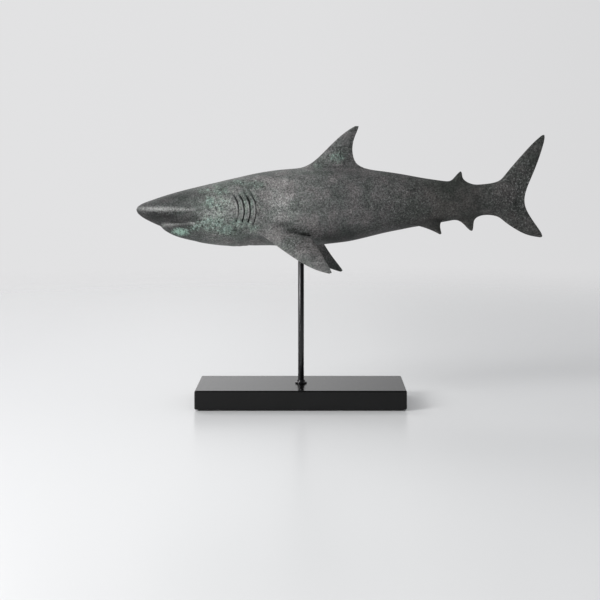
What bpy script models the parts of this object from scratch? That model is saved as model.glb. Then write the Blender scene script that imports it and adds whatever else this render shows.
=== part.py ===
"""A cast shark figurine that swims level on a slim rod over a lacquered plinth.

The shark is one casting: snout, undercut jaw, gill slits, eyes and all fins grow out of one skin.
The rod screws into a brass bush in the belly and is held in the plinth by a washer and a nut.
Metres, +Z up. The origin is under the felt, on the rod's axis; the snout points to -X.
"""

import math

import bmesh
import bpy
from mathutils import Matrix, Vector

# Plinth and felt
BASE_LENGTH = 0.280
BASE_DEPTH = 0.120
BASE_HEIGHT = 0.025
BASE_EDGE_RADIUS = 0.002
FELT_THICKNESS = 0.0015
FELT_INSET = 0.004
FELT_CORNER_RADIUS = 0.003

# Rod and what holds it
ROD_DIAMETER = 0.008
ROD_CHAMFER = 0.0008
ROD_PAST_NUT = 0.0015
COLLAR_FLANGE_DIAMETER = 0.016
COLLAR_FLANGE_THICKNESS = 0.0015
COLLAR_SLEEVE_WALL = 0.0011
COLLAR_SLEEVE_HEIGHT = 0.003
COUNTERBORE_DIAMETER = 0.022
COUNTERBORE_DEPTH = 0.012
WASHER_DIAMETER = 0.016
WASHER_THICKNESS = 0.0016
NUT_ACROSS_FLATS = 0.013
NUT_HEIGHT = 0.0065
INSERT_WALL = 0.0020
INSERT_LENGTH = 0.020
INSERT_RECESS = 0.0030

# Gap left between pieces that fit or rest on each other
FIT_GAP = 0.0003

# Body of the shark
SWIM_HEIGHT = 0.2613
BODY_LENGTH = 0.490
BACK_RISE = 0.058
BELLY_DROP = 0.050
BODY_HALF_WIDTH = 0.048
MIDLINE_RISE = 0.015
ROD_PLACE = 0.4571

# Mouth, eyes and gills
MOUTH_FRONT = 0.0684
MOUTH_CORNER = 0.1704
MOUTH_DEPTH = 0.0035
LIP_HEIGHT = 0.0010
JAW_INSET = 0.0012
SNOUT_TUCK = 0.0042
TUCK_ANGLE = 32
TUCK_ROWS = {7: 0.45, 8: 0.2, 9: 0.0}
RIDGE_RISE = 0.0006
EYE_PLACE = 0.1475
EYE_DIAMETER = 0.0062
EYE_GROOVE = 0.0010
EYE_SPREAD = 1.2
EYE_ROW = 4
GILL_PLACE = 0.2857
GILL_COUNT = 4
GILL_PITCH = 0.0080
GILL_WIDTH = 0.0019
GILL_DEPTH = 0.0036
GILL_FLAP = 0.0006
GILL_BOW = 0.013
GILL_BOW_FADE = 0.045
GILL_REACH = {3: 0.25, 4: 1.0, 5: 0.95, 6: 0.1}

# Fins: each has its place on the body, its root's length, its reach and its thickness
DORSAL_PLACE = 0.4557
DORSAL_ROOT = 0.0951
DORSAL_HEIGHT = 0.0585
DORSAL_THICKNESS = 0.013
SECOND_DORSAL_PLACE = 0.869
SECOND_DORSAL_ROOT = 0.0304
SECOND_DORSAL_HEIGHT = 0.0160
SECOND_DORSAL_THICKNESS = 0.005
ANAL_PLACE = 0.886
ANAL_ROOT = 0.0345
ANAL_HEIGHT = 0.0190
ANAL_THICKNESS = 0.005
PECTORAL_PLACE = 0.3390
PECTORAL_ROOT = 0.0677
PECTORAL_SWEEP = 0.1060
PECTORAL_DROP = 0.0532
PECTORAL_SPREAD = 0.0320
PECTORAL_THICKNESS = 0.014
FAR_PECTORAL_SET_BACK = 0.0075
FAR_PECTORAL_LAG = 0.0110
FAR_PECTORAL_SAG = 0.0110
PELVIC_PLACE = 0.7649
PELVIC_ROOT = 0.0390
PELVIC_SWEEP = 0.0385
PELVIC_DROP = 0.0130
PELVIC_SPREAD = 0.0080
PELVIC_THICKNESS = 0.006
TAIL_REACH_UP = 0.0677
TAIL_SWEEP_UP = 0.0660
TAIL_REACH_DOWN = 0.0318
TAIL_SWEEP_DOWN = 0.0645
TAIL_FORK_LENGTH = 0.0365
TAIL_FORK_DROP = 0.001
FIN_EDGE = 0.0014
FIN_CORNER_DROP = 0.0005

# Mesh density of the skin
STATION_PITCH = 0.0150
HALF_ROWS = 9
ROWS = 2 * HALF_ROWS
RING_CLEARANCE = 0.0015
TURNED_SIDES = 32

# Outlines as shares: place along the body from snout to tail root, then share of the named size
BACK_LINE = (
    (0.0, 0.02), (0.007, 0.115), (0.018, 0.165), (0.040, 0.235), (0.073, 0.33), (0.118, 0.445),
    (0.162, 0.54), (0.206, 0.63), (0.273, 0.755), (0.339, 0.885), (0.395, 0.955), (0.456, 0.99),
    (0.50, 1.0), (0.567, 0.985), (0.65, 0.95), (0.733, 0.86), (0.805, 0.75), (0.869, 0.675),
    (0.931, 0.608), (0.965, 0.613), (1.0, 0.66),
)
SNOUT_UNDERSIDE = (
    (0.0, -0.02), (0.007, 0.115), (0.018, 0.195), (0.029, 0.255), (0.051, 0.36), (0.0684, 0.432),
)
BELLY_LINE = (
    (0.0684, 0.432), (0.073, 0.49), (0.081, 0.56), (0.097, 0.655), (0.122, 0.757), (0.154, 0.835),
    (0.196, 0.92), (0.243, 0.975), (0.308, 1.008), (0.387, 1.035), (0.43, 1.025), (0.496, 0.98),
    (0.55, 0.90), (0.594, 0.84), (0.639, 0.735), (0.705, 0.58), (0.766, 0.478), (0.805, 0.415),
    (0.85, 0.335), (0.886, 0.25), (0.93, 0.17), (0.965, 0.112), (1.0, 0.15),
)
WIDTH_LINE = (
    (0.0, 0.0), (0.007, 0.135), (0.018, 0.21), (0.029, 0.26), (0.051, 0.34), (0.069, 0.395),
    (0.098, 0.475), (0.144, 0.595), (0.196, 0.73), (0.251, 0.86), (0.308, 0.945), (0.363, 0.99),
    (0.428, 1.0), (0.496, 0.965), (0.577, 0.875), (0.649, 0.76), (0.733, 0.605), (0.804, 0.46),
    (0.869, 0.335), (0.93, 0.235), (0.965, 0.195), (1.0, 0.177),
)
MIDLINE = (
    (0.0, 0.08), (0.1, 0.03), (0.25, -0.06), (0.455, 0.1), (0.577, 0.35), (0.70, 0.65),
    (0.822, 0.88), (0.965, 1.0), (1.0, 1.02),
)
MOUTH_LINE = (
    (0.0684, 0.424), (0.081, 0.394), (0.0955, 0.366), (0.123, 0.35), (0.151, 0.328), (0.1704, 0.302),
)
TUCK_LINE = (
    (0.0, 0.0), (0.03, 0.55), (0.06, 1.0), (0.13, 1.0), (0.18, 0.4), (0.215, 0.0), (1.0, 0.0),
)
LOWER_FULLNESS = (
    (0.0, 2.0), (0.05, 1.75), (0.15, 1.85), (0.25, 2.0), (0.45, 2.1), (0.75, 2.0), (1.0, 1.9),
)

# Angles of the rows of the skin, from the back down to the belly, at chosen places on the body
ROW_ANGLES = (
    (0.0, (90, 70, 50, 28, 5, -16, -34, -52, -70, -90)),
    (0.053, (90, 70, 50, 24, -1, -38, -56, -69, -80, -90)),
    (0.0684, (90, 70, 50, 24, -2, -58, -70, -78, -84, -90)),
    (0.19, (90, 69, 48, 26, 3, -13, -26, -42, -64, -90)),
    (0.28, (90, 70, 52, 34, 15, -4, -22, -38, -62, -90)),
    (0.34, (90, 70, 52, 33, 14, -6, -22, -30, -38, -90)),
    (0.477, (90, 78, 56, 32, 10, -12, -32, -40, -48, -90)),
    (0.56, (90, 78, 56, 32, 8, -16, -36, -52, -70, -90)),
    (0.70, (90, 74, 52, 28, 4, -20, -40, -56, -72, -90)),
    (0.77, (90, 70, 48, 26, 4, -20, -50, -58, -66, -90)),
    (0.845, (90, 72, 50, 28, 5, -20, -50, -58, -66, -90)),
    (0.90, (90, 76, 52, 28, 6, -16, -38, -56, -76, -90)),
    (1.0, (90, 70, 50, 30, 10, -10, -30, -50, -70, -90)),
)

# Levels of each fin from its root out: share of its reach, then where the level's leading and
# trailing ends lie as shares of the root or sweep, and its thickness as a share of the root's
DORSAL_LEVELS = (
    (0.085, 0.12, 0.835, 0.80), (0.25, 0.255, 0.765, 0.62), (0.47, 0.385, 0.742, 0.48),
    (0.70, 0.53, 0.765, 0.36), (0.89, 0.665, 0.812, 0.27), (0.995, 0.775, 0.832, 0.16),
)
SECOND_DORSAL_LEVELS = ((0.35, 0.17, 0.62, 0.75), (0.75, 0.33, 0.565, 0.55), (1.0, 0.46, 0.53, 0.38))
ANAL_LEVELS = ((0.28, 0.23, 0.73, 0.75), (0.66, 0.40, 0.705, 0.55), (1.0, 0.57, 0.67, 0.38))

# Levels of a paired fin: its leading end (back, down, out), its trailing end and its thickness
PECTORAL_LEVELS = (
    ((0.135, 0.105, 0.10), (0.74, 0.15, 0.12), 0.72),
    ((0.33, 0.37, 0.40), (0.825, 0.35, 0.42), 0.52),
    ((0.52, 0.62, 0.62), (0.88, 0.54, 0.60), 0.40),
    ((0.705, 0.835, 0.80), (0.93, 0.71, 0.78), 0.30),
    ((0.865, 0.95, 0.94), (0.975, 0.855, 0.93), 0.22),
    ((0.962, 0.995, 1.0), (1.0, 0.965, 1.0), 0.13),
)
PELVIC_LEVELS = (
    ((0.40, 0.30, 0.30), (0.955, 0.15, 0.30), 0.75),
    ((0.73, 0.68, 0.70), (0.965, 0.52, 0.70), 0.55),
    ((0.92, 0.97, 1.0), (0.99, 0.90, 1.0), 0.35),
)

# Outlines of the tail fin, as shares of its sweep and reach
TAIL_UPPER_EDGE = (
    (0.0, 0.0), (0.12, 0.10), (0.33, 0.36), (0.55, 0.61), (0.76, 0.84), (0.93, 0.98), (1.0, 1.0),
)
TAIL_LOWER_EDGE = (
    (0.0, 0.0), (0.125, 0.21), (0.34, 0.53), (0.556, 0.80), (0.77, 0.96), (0.92, 1.0), (1.0, 0.96),
)
UPPER_TRAILING = (
    (0.0, 0.0), (0.14, 0.09), (0.29, 0.29), (0.48, 0.54), (0.71, 0.79), (0.88, 0.94), (1.0, 1.0),
)
LOWER_TRAILING = (
    (0.0, 0.0), (0.11, 0.02), (0.30, 0.145), (0.55, 0.46), (0.80, 0.77), (1.0, 1.0),
)
TAIL_RINGS = (0.14, 0.32, 0.52, 0.72, 0.89, 1.0)


def smooth_line(points):
    """Return a function that runs a smooth curve without overshoot through the points."""
    xs = [p[0] for p in points]
    ys = [p[1] for p in points]
    steps = [(ys[i + 1] - ys[i]) / (xs[i + 1] - xs[i]) for i in range(len(xs) - 1)]
    slopes = [steps[0]]
    for before, after in zip(steps, steps[1:]):
        slopes.append(0.0 if before * after <= 0 else 2 * before * after / (before + after))
    slopes.append(steps[-1])

    def value(x):
        x = min(max(x, xs[0]), xs[-1])
        i = max(k for k in range(len(xs) - 1) if x >= xs[k])
        width = xs[i + 1] - xs[i]
        t = (x - xs[i]) / width
        start = ys[i] * (1 + 2 * t) * (1 - t) ** 2 + slopes[i] * width * t * (1 - t) ** 2
        end = ys[i + 1] * t * t * (3 - 2 * t) + slopes[i + 1] * width * t * t * (t - 1)
        return start + end

    return value


back_share = smooth_line(BACK_LINE)
snout_share = smooth_line(SNOUT_UNDERSIDE)
belly_share = smooth_line(BELLY_LINE)
width_share = smooth_line(WIDTH_LINE)
midline_share = smooth_line(MIDLINE)
mouth_share = smooth_line(MOUTH_LINE)
tuck_share = smooth_line(TUCK_LINE)
lower_fullness = smooth_line(LOWER_FULLNESS)


def along(place):
    """Distance behind the rod's axis of a place on the body."""
    return (place - ROD_PLACE) * BODY_LENGTH


def back_height(place):
    return SWIM_HEIGHT + BACK_RISE * back_share(place)


def belly_height(place):
    share = snout_share(place) if place < MOUTH_FRONT else belly_share(place)
    return SWIM_HEIGHT - BELLY_DROP * share


def section_point(place, angle):
    """Y and Z of the skin on the far side, at an angle above the widest line of the section."""
    middle = SWIM_HEIGHT + MIDLINE_RISE * midline_share(place)
    turn = math.radians(angle)
    width = BODY_HALF_WIDTH * width_share(place)
    if angle >= 0:
        return width * math.cos(turn), middle + (back_height(place) - middle) * math.sin(turn)
    power = 2 / lower_fullness(place)
    drop = (middle - belly_height(place)) * abs(math.sin(turn)) ** power
    return width * max(math.cos(turn), 0.0) ** power, middle - drop


def angle_at_height(place, height):
    """Angle at which the lower half of a section reaches a height."""
    middle = SWIM_HEIGHT + MIDLINE_RISE * midline_share(place)
    share = (middle - height) / (middle - belly_height(place))
    share = min(max(share, 0.0), 0.995)
    return -math.degrees(math.asin(share ** (lower_fullness(place) / 2)))


def fin_roots():
    """Each fin strip: first and last place, its middle row, and its root's half thickness."""
    def strip(place, root, row, thickness):
        return place, place + root / BODY_LENGTH, row, thickness / 2

    return (
        strip(DORSAL_PLACE, DORSAL_ROOT, 0, DORSAL_THICKNESS),
        strip(SECOND_DORSAL_PLACE, SECOND_DORSAL_ROOT, 0, SECOND_DORSAL_THICKNESS),
        strip(ANAL_PLACE, ANAL_ROOT, HALF_ROWS, ANAL_THICKNESS),
        strip(PECTORAL_PLACE, PECTORAL_ROOT, 7, PECTORAL_THICKNESS),
        strip(PELVIC_PLACE, PELVIC_ROOT, 7, PELVIC_THICKNESS),
    )


def lens(share):
    """Thickness of a fin along its chord: blunt in front, thin behind."""
    return max(0.18, math.sin(math.pi * share ** 0.75) ** 0.8)


def row_angles(place):
    """Angles of the rows at a place, with the lips and the fin roots worked in."""
    end_key = len(ROW_ANGLES) - 1
    later = next(k for k in range(1, end_key + 1) if place <= ROW_ANGLES[k][0] or k == end_key)
    (start, first), (end, last) = ROW_ANGLES[later - 1], ROW_ANGLES[later]
    mix = min(max((place - start) / (end - start), 0.0), 1.0)
    angles = [a + (b - a) * mix for a, b in zip(first, last)]
    if MOUTH_FRONT <= place <= MOUTH_CORNER:
        height = SWIM_HEIGHT - BELLY_DROP * mouth_share(place)
        angles[5] = angle_at_height(place, height + LIP_HEIGHT)
        angles[6] = angle_at_height(place, height)
        angles[7] = angle_at_height(place, height - LIP_HEIGHT)
        angles[8] = (angles[7] - 90) / 2
    for start, end, row, half in fin_roots():
        if start - 1e-6 <= place <= end + 1e-6:
            share = min(max((place - start) / (end - start), 0.0), 1.0)
            width = BODY_HALF_WIDTH * width_share(place)
            spread = math.degrees(half * lens(share) / width)
            if row > 0:
                angles[row - 1] = angles[row] + spread
            if row < HALF_ROWS:
                angles[row + 1] = angles[row] - spread
    return angles


def gill_stations():
    """Place of the three rings of each gill slit, flap, floor and rear edge, with how far each is
    pushed out of the skin and how far it spreads back past the slit's ends."""
    rings = []
    for slit in range(GILL_COUNT):
        start = GILL_PLACE + slit * GILL_PITCH / BODY_LENGTH
        for step, (share, push) in enumerate(((0.0, GILL_FLAP), (0.3, -GILL_DEPTH), (1.0, 0.0))):
            spread = step * GILL_PITCH / 3 - share * GILL_WIDTH
            rings.append((start + share * GILL_WIDTH / BODY_LENGTH, (push, spread)))
    return rings


def stations():
    """Places of all rings on the body, each with its gill push and spread."""
    rings = dict(gill_stations())
    marks = {0.005, 0.018, 0.036, 0.053, MOUTH_FRONT - 0.005, MOUTH_FRONT, MOUTH_FRONT + 0.005,
             MOUTH_FRONT + 0.014, MOUTH_FRONT + 0.029, MOUTH_FRONT + 0.05, EYE_PLACE,
             MOUTH_CORNER - 0.003, MOUTH_CORNER + 0.01, 1.0}
    for start, end, row, half in fin_roots():
        marks.add(start)
        marks.add(end)
    gill_places = sorted(rings)
    for mark in sorted(marks):
        clear = all(abs(mark - place) * BODY_LENGTH > RING_CLEARANCE for place in rings)
        if clear and not gill_places[0] < mark < gill_places[-1]:
            rings[mark] = (0.0, 0.0)
    places = sorted(rings)
    for before, after in zip(places, places[1:]):
        pieces = round((after - before) * BODY_LENGTH / STATION_PITCH)
        for k in range(1, pieces):
            rings[before + (after - before) * k / pieces] = (0.0, 0.0)
    return sorted(rings.items())


def gill_bow(place, angle):
    """How far the rings run forward above and below the middle of the gill slits."""
    first = GILL_PLACE
    last = GILL_PLACE + GILL_COUNT * GILL_PITCH / BODY_LENGTH
    away = max(first - place, place - last, 0.0) * BODY_LENGTH
    fade = max(0.0, 1 - away / GILL_BOW_FADE)
    turn = ((angle - 3) / 30) ** 2
    return -GILL_BOW * fade * fade * turn / (turn + 1)


def side_of(row):
    """0 on the middle plane, -1 on the near side, +1 on the far side."""
    if row in (0, HALF_ROWS):
        return 0
    return -1 if row < HALF_ROWS else 1


def body_ring(place, gill=(0.0, 0.0)):
    """Points of one ring of the skin, row by row round the body."""
    angles = row_angles(place)
    gill_push, gill_spread = gill
    ring = []
    for row in range(ROWS):
        half = min(row, ROWS - row)
        angle = angles[half]
        reach = GILL_REACH.get(half, 0.0)
        bow = gill_bow(place, angle) + gill_spread * (1 - reach)
        y, z = section_point(place + bow / BODY_LENGTH, angle)
        turn = math.radians(angle)
        push = gill_push * reach
        if MOUTH_FRONT < place < MOUTH_CORNER and half == 6:
            push = -MOUTH_DEPTH
        if MOUTH_FRONT < place < MOUTH_CORNER and half == 7:
            push = -JAW_INSET
        tuck = min(max(-angle / TUCK_ANGLE, 0.0), 1.0) * TUCK_ROWS.get(half, 1.0) * SNOUT_TUCK
        if half == 4:
            tuck = -RIDGE_RISE
        y += push * math.cos(turn) - min(tuck * tuck_share(place), y * 0.4)
        z += push * math.sin(turn)
        ring.append(Vector((along(place) + bow, side_of(row) * y, z)))
    return ring


def tail_edges():
    """Corner points and edge curves of the tail fin in the middle plane."""
    top = Vector((along(1.0), 0, back_height(1.0)))
    bottom = Vector((along(1.0), 0, belly_height(1.0)))
    upper_tip = top + Vector((TAIL_SWEEP_UP, 0, TAIL_REACH_UP))
    lower_tip = bottom + Vector((TAIL_SWEEP_DOWN, 0, -TAIL_REACH_DOWN * 0.96))
    fork = Vector((along(1.0) + TAIL_FORK_LENGTH, 0, (top.z + bottom.z) / 2 - TAIL_FORK_DROP))
    return top, bottom, upper_tip, lower_tip, fork


def tail_ring(share):
    """Points of one ring of the tail fin: a patch stretched between its four edges."""
    top, bottom, upper_tip, lower_tip, fork = tail_edges()
    rise = smooth_line(TAIL_UPPER_EDGE)(share)
    fall = smooth_line(TAIL_LOWER_EDGE)(share)
    upper = top + Vector((TAIL_SWEEP_UP * share, 0, TAIL_REACH_UP * rise))
    lower = bottom + Vector((TAIL_SWEEP_DOWN * share, 0, -TAIL_REACH_DOWN * fall))
    fork_row = 5.5 / HALF_ROWS
    root = body_ring(1.0)
    ring = []
    for row in range(ROWS):
        down = min(row, ROWS - row) / HALF_ROWS
        if down <= fork_row:
            out = 1 - down / fork_row
            bend = smooth_line(UPPER_TRAILING)(out)
            tip = upper_tip
        else:
            out = (down - fork_row) / (1 - fork_row)
            bend = smooth_line(LOWER_TRAILING)(out)
            tip = lower_tip
        behind = Vector((fork.x + (tip.x - fork.x) * bend, 0, fork.z + (tip.z - fork.z) * out))
        start = Vector((root[row].x, 0, root[row].z))
        point = start * (1 - share) + behind * share + upper * (1 - down) + lower * down
        point -= (top * (1 - down) + bottom * down) * (1 - share)
        point -= (upper_tip * (1 - down) + lower_tip * down) * share
        thin = FIN_EDGE / 2 + (abs(root[row].y) - FIN_EDGE / 2) * (1 - share)
        point.y = side_of(row) * thin
        ring.append(point)
    return ring


def loft(mesh, rings):
    """Skin the rings with four-sided faces, close the snout with a pole and the tail with an edge."""
    station = mesh.verts.layers.int.new("station")
    line = mesh.verts.layers.int.new("row")
    grid = []
    for index, ring in enumerate(rings):
        verts = []
        for row, point in enumerate(ring):
            vert = mesh.verts.new(point)
            vert[station] = index
            vert[line] = row
            verts.append(vert)
        grid.append(verts)
    for ahead, behind in zip(grid, grid[1:]):
        for row in range(ROWS):
            after = (row + 1) % ROWS
            mesh.faces.new((ahead[row], ahead[after], behind[after], behind[row]))
    snout = mesh.verts.new((along(0.0), 0, SWIM_HEIGHT + MIDLINE_RISE * midline_share(0.0)))
    snout[station] = -1
    snout[line] = -1
    for row in range(ROWS):
        mesh.faces.new((snout, grid[0][(row + 1) % ROWS], grid[0][row]))
    last = grid[-1]
    for row in range(HALF_ROWS):
        corners = [last[row], last[row + 1], last[(ROWS - row - 1) % ROWS], last[(ROWS - row) % ROWS]]
        mesh.faces.new(list(dict.fromkeys(corners)))


def grow_fin(mesh, places, strip, middle_row, levels, place_point):
    """Pull a fin out of a strip of the skin, level by level."""
    station = mesh.verts.layers.int["station"]
    line = mesh.verts.layers.int["row"]
    first = min(range(len(places)), key=lambda k: abs(places[k] - strip[0]))
    last = min(range(len(places)), key=lambda k: abs(places[k] - strip[1]))
    sides = {(middle_row - 1) % ROWS: -1, middle_row: 0, (middle_row + 1) % ROWS: 1}
    faces = [f for f in mesh.faces
             if all(first <= v[station] <= last and v[line] in sides for v in f.verts)]
    for level in levels:
        grown = bmesh.ops.extrude_face_region(mesh, geom=faces, use_keep_orig=True)["geom"]
        bmesh.ops.delete(mesh, geom=faces, context="FACES")
        grown = [g for g in grown if g.is_valid]
        faces = [g for g in grown if isinstance(g, bmesh.types.BMFace)]
        for vert in (g for g in grown if isinstance(g, bmesh.types.BMVert)):
            share = (places[vert[station]] - places[first]) / (places[last] - places[first])
            vert.co = place_point(level, share, sides[vert[line]])


def edge_share(share, side):
    """Pull the side points off the leading and trailing edges, so that both are rounded."""
    return 0.07 + 0.86 * share if side else share


def median_fin(place, root, height, thickness, up):
    """Place points of a fin on the back (up 1) or on the belly (up -1)."""
    def place_point(level, share, side):
        reach, lead, trail, thick = level
        back = lead + (trail - lead) * edge_share(share, side)
        at = place + back * root / BODY_LENGTH
        base = back_height(at) if up > 0 else belly_height(at)
        half = max(FIN_EDGE, thickness * thick * lens(share)) / 2
        crest = 0.0 if side or 0 < share < 1 else -FIN_CORNER_DROP
        return Vector((along(at), side * half * -up, base + up * (height * reach + crest)))

    return place_point


def paired_fin(place, sizes, thickness, far, set_back=0.0, lag=0.0, sag=0.0):
    """Place points of a pectoral or pelvic fin, on the near or the far side."""
    sweep, drop, spread = sizes
    y, z = section_point(place, row_angles(place)[7])
    hand = 1 if far else -1
    root = Vector((along(place) + gill_bow(place, row_angles(place)[7]), hand * y, z))

    def end(shares):
        back, down, out = shares
        fall = -drop * down - sag * down * down
        trail = set_back + lag * down ** 3
        return root + Vector((sweep * back + trail, hand * spread * out, fall))

    def place_point(level, share, side):
        lead, trail = end(level[0]), end(level[1])
        chord = trail - lead
        span = Vector((sweep, hand * spread, -drop))
        normal = chord.cross(span).normalized()
        half = max(FIN_EDGE, thickness * level[2] * lens(share)) / 2
        return lead + chord * edge_share(share, side) + normal * half * side

    return place_point


def settle(mesh, rounds=5):
    """Move the cage until its smoothed surface runs through the points it was given."""
    aims = {vert: vert.co.copy() for vert in mesh.verts}
    for _ in range(rounds):
        smooth = {}
        for vert in mesh.verts:
            count = len(vert.link_faces)
            faces = sum((f.calc_center_median() for f in vert.link_faces), Vector()) / count
            edges = sum(((e.verts[0].co + e.verts[1].co) / 2 for e in vert.link_edges), Vector()) / count
            smooth[vert] = (faces + edges * 2 + vert.co * (count - 3)) / count
        for vert, aim in aims.items():
            vert.co += (aim - smooth[vert]) * 0.9


def sink_eye(mesh, places, hand):
    """Open the skin at the eye: a rim, a groove round it and a low ball in the middle."""
    station = mesh.verts.layers.int["station"]
    line = mesh.verts.layers.int["row"]
    at = min(range(len(places)), key=lambda k: abs(places[k] - EYE_PLACE))
    row = EYE_ROW if hand < 0 else ROWS - EYE_ROW
    pupil = next(v for v in mesh.verts if v[station] == at and v[line] == row)
    rim = bmesh.ops.bevel(mesh, geom=[pupil], offset=EYE_DIAMETER * EYE_SPREAD, segments=1,
                          profile=0.5, affect="VERTICES")["faces"]
    wall = EYE_GROOVE * 0.6
    for width, depth in ((EYE_GROOVE, 0.0), (wall, -EYE_GROOVE), (wall, EYE_GROOVE)):
        bmesh.ops.inset_region(mesh, faces=rim, thickness=width, depth=depth, use_even_offset=True)


def shark_cage():
    """The whole shark as one coarse closed skin."""
    mesh = bmesh.new()
    body = stations()
    places = [place for place, gill in body]
    rings = [body_ring(place, gill) for place, gill in body]
    rings += [tail_ring(share) for share in TAIL_RINGS]
    loft(mesh, rings)
    dorsal, second_dorsal, anal, pectoral, pelvic = fin_roots()
    grow_fin(mesh, places, dorsal, 0, DORSAL_LEVELS,
             median_fin(DORSAL_PLACE, DORSAL_ROOT, DORSAL_HEIGHT, DORSAL_THICKNESS, 1))
    grow_fin(mesh, places, second_dorsal, 0, SECOND_DORSAL_LEVELS,
             median_fin(SECOND_DORSAL_PLACE, SECOND_DORSAL_ROOT, SECOND_DORSAL_HEIGHT,
                        SECOND_DORSAL_THICKNESS, 1))
    grow_fin(mesh, places, anal, HALF_ROWS, ANAL_LEVELS,
             median_fin(ANAL_PLACE, ANAL_ROOT, ANAL_HEIGHT, ANAL_THICKNESS, -1))
    pectoral_size = (PECTORAL_SWEEP, PECTORAL_DROP, PECTORAL_SPREAD)
    pelvic_size = (PELVIC_SWEEP, PELVIC_DROP, PELVIC_SPREAD)
    grow_fin(mesh, places, pectoral, 7, PECTORAL_LEVELS,
             paired_fin(pectoral[0], pectoral_size, PECTORAL_THICKNESS, False))
    grow_fin(mesh, places, pectoral, ROWS - 7, PECTORAL_LEVELS,
             paired_fin(pectoral[0], pectoral_size, PECTORAL_THICKNESS, True,
                        FAR_PECTORAL_SET_BACK, FAR_PECTORAL_LAG, FAR_PECTORAL_SAG))
    grow_fin(mesh, places, pelvic, 7, PELVIC_LEVELS,
             paired_fin(pelvic[0], pelvic_size, PELVIC_THICKNESS, False))
    grow_fin(mesh, places, pelvic, ROWS - 7, PELVIC_LEVELS,
             paired_fin(pelvic[0], pelvic_size, PELVIC_THICKNESS, True))
    settle(mesh)
    sink_eye(mesh, places, -1)
    sink_eye(mesh, places, 1)
    bmesh.ops.recalc_face_normals(mesh, faces=mesh.faces)
    return mesh


def clear_scene():
    for thing in list(bpy.data.objects):
        bpy.data.objects.remove(thing, do_unlink=True)


def new_collection(name):
    group = bpy.data.collections.new(name)
    bpy.context.scene.collection.children.link(group)
    return group


def material(name, colour, roughness, metallic=0.0):
    """A plain finish; colour is linear red, green and blue."""
    finish = bpy.data.materials.new(name)
    finish.use_nodes = True
    shader = finish.node_tree.nodes["Principled BSDF"]
    shader.inputs["Base Color"].default_value = (*colour, 1)
    shader.inputs["Roughness"].default_value = roughness
    shader.inputs["Metallic"].default_value = metallic
    return finish


def add_object(name, mesh, group, finish=None):
    """Turn a bmesh into a named object of a collection."""
    data = bpy.data.meshes.new(name)
    mesh.to_mesh(data)
    mesh.free()
    item = bpy.data.objects.new(name, data)
    group.objects.link(item)
    if finish:
        data.materials.append(finish)
    else:
        item.hide_render = True
        item.display_type = "WIRE"
    return item


def cut(item, cutter):
    hole = item.modifiers.new("cut_" + cutter.name, "BOOLEAN")
    hole.operation = "DIFFERENCE"
    hole.object = cutter
    hole.solver = "EXACT"


def turned(name, profile, group, finish=None):
    """Spin a profile of (radius, height) points about the rod's axis; it runs down its outer side."""
    mesh = bmesh.new()
    verts = [mesh.verts.new((radius, 0, height)) for radius, height in profile]
    closed = profile[0][0] > 0
    for a, b in zip(verts, verts[1:] + (verts[:1] if closed else [])):
        mesh.edges.new((a, b))
    item = add_object(name, mesh, group, finish)
    spin = item.modifiers.new("spin", "SCREW")
    spin.steps = TURNED_SIDES
    spin.render_steps = TURNED_SIDES
    spin.use_merge_vertices = True
    spin.merge_threshold = 0.00005
    return item


def block(name, length, depth, bottom, height, group, finish):
    """A box centred on the rod's axis, with its scale in its mesh."""
    mesh = bmesh.new()
    bmesh.ops.create_cube(mesh, size=1.0)
    bmesh.ops.scale(mesh, vec=(length, depth, height), verts=mesh.verts)
    bmesh.ops.translate(mesh, vec=(0, 0, bottom + height / 2), verts=mesh.verts)
    return add_object(name, mesh, group, finish)


def felt_sheet(group):
    item = block("felt_sheet", BASE_LENGTH - 2 * FELT_INSET, BASE_DEPTH - 2 * FELT_INSET,
                 0.0, FELT_THICKNESS, group, material("black_felt", (0.012, 0.012, 0.012), 0.95))
    corners = item.modifiers.new("corners", "BEVEL")
    corners.width = FELT_CORNER_RADIUS
    corners.segments = 4
    corners.limit_method = "WEIGHT"
    weights = item.data.attributes.new("bevel_weight_edge", "FLOAT", "EDGE")
    for edge in item.data.edges:
        a, b = (item.data.vertices[i].co for i in edge.vertices)
        weights.data[edge.index].value = 1.0 if abs(a.z - b.z) > FELT_THICKNESS / 2 else 0.0
    return item


BASE_BOTTOM = FELT_THICKNESS + FIT_GAP
BASE_TOP = BASE_BOTTOM + BASE_HEIGHT
RECESS_TOP = BASE_BOTTOM + COUNTERBORE_DEPTH
WASHER_BOTTOM = RECESS_TOP - FIT_GAP - WASHER_THICKNESS
NUT_BOTTOM = WASHER_BOTTOM - FIT_GAP - NUT_HEIGHT
ROD_RADIUS = ROD_DIAMETER / 2
BORE_RADIUS = ROD_RADIUS + FIT_GAP
INSERT_BOTTOM = belly_height(ROD_PLACE) + INSERT_RECESS
INSERT_TOP = INSERT_BOTTOM + INSERT_LENGTH
INSERT_RADIUS = BORE_RADIUS + INSERT_WALL


def base(group, cutters):
    """The plinth: a block with softened edges, bored for the rod and recessed for its nut."""
    item = block("base", BASE_LENGTH, BASE_DEPTH, BASE_BOTTOM, BASE_HEIGHT, group,
                 material("black_lacquered_wood", (0.012, 0.012, 0.013), 0.12))
    edges = item.modifiers.new("edges", "BEVEL")
    edges.width = BASE_EDGE_RADIUS
    edges.segments = 3
    recess = COUNTERBORE_DIAMETER / 2
    over = 0.01
    hole = turned("base_hole", (
        (0, BASE_TOP + over), (BORE_RADIUS, BASE_TOP + over), (BORE_RADIUS, RECESS_TOP),
        (recess, RECESS_TOP), (recess, BASE_BOTTOM - over), (0, BASE_BOTTOM - over)), cutters)
    cut(item, hole)
    return item


def ring_piece(name, outer, inner, bottom, top, group, finish):
    return turned(name, ((outer, top), (outer, bottom), (inner, bottom), (inner, top)), group, finish)


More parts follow.
